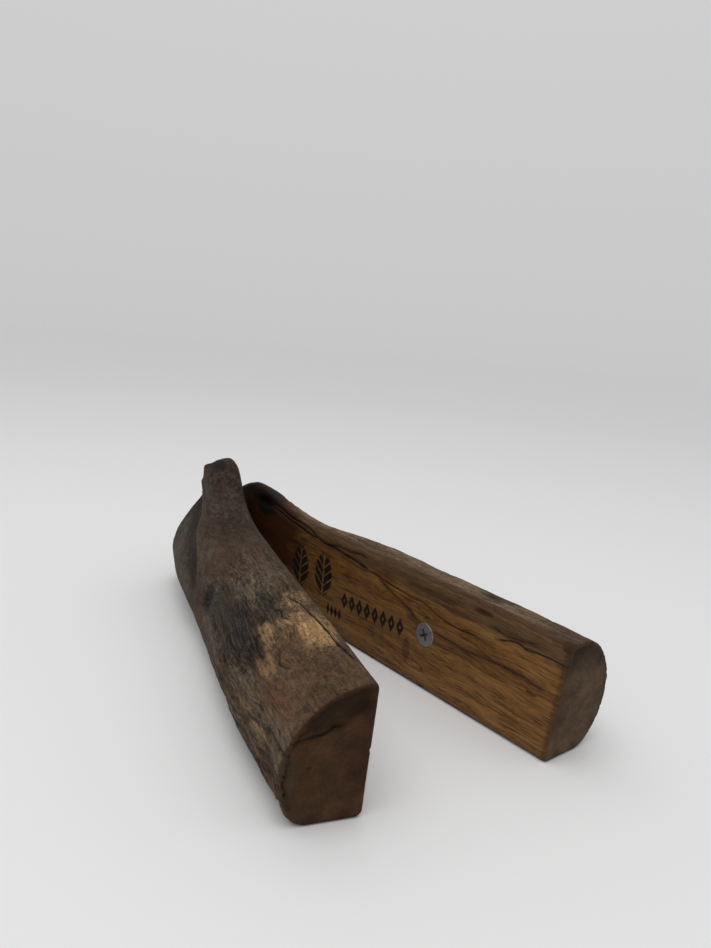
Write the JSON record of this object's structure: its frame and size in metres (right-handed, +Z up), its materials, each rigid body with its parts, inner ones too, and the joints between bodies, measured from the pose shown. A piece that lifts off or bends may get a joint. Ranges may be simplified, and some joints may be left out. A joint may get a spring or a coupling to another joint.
{
  "type": "hinged split-limb wooden holder",
  "caption": "Weathered hardwood limb split lengthwise into mirror halves that a butt hinge joins at the raised heads, with a keeper screw and a magnet to hold it shut.",
  "frame": {"origin": "on the ground under the middle of the whole object's bounding box, as it stands part open", "axes": "+Y towards the hinged heads, so the two halves open towards -Y; +X towards the right half; +Z up from the planed feet"},
  "size_m": [0.1028, 0.1854, 0.0552],
  "materials": {
    "wood_right": "oiled golden-brown split face, weathered grey-brown bark side",
    "wood_left": "weathered grey-brown with dark stains and worn tan patches, hand-rubbed",
    "zinc_steel": "dull grey zinc plate",
    "magnet_nickel": "nickel plated",
    "hinge_brass": "aged brass",
    "screw_brass": "aged brass"
  },
  "bodies": {
    "right": {"right_half": "wood_right", "keeper_screw": "zinc_steel", "hinge_leaf_right": "hinge_brass", "hinge_screws_right": "screw_brass", "hinge_pin": "hinge_brass"},
    "left": {"left_half": "wood_left", "closing_magnet": "magnet_nickel", "hinge_leaf_left": "hinge_brass", "hinge_screws_left": "screw_brass"}
  },
  "joints": [
    {"name": "head_hinge", "type": "hinge", "parent": "right", "child": "left", "pos_m": [-0.00068, 0.09011, 0.0205], "axis": [0, 0, -1], "range_deg": [-18.2, 161.8]}
  ]
}
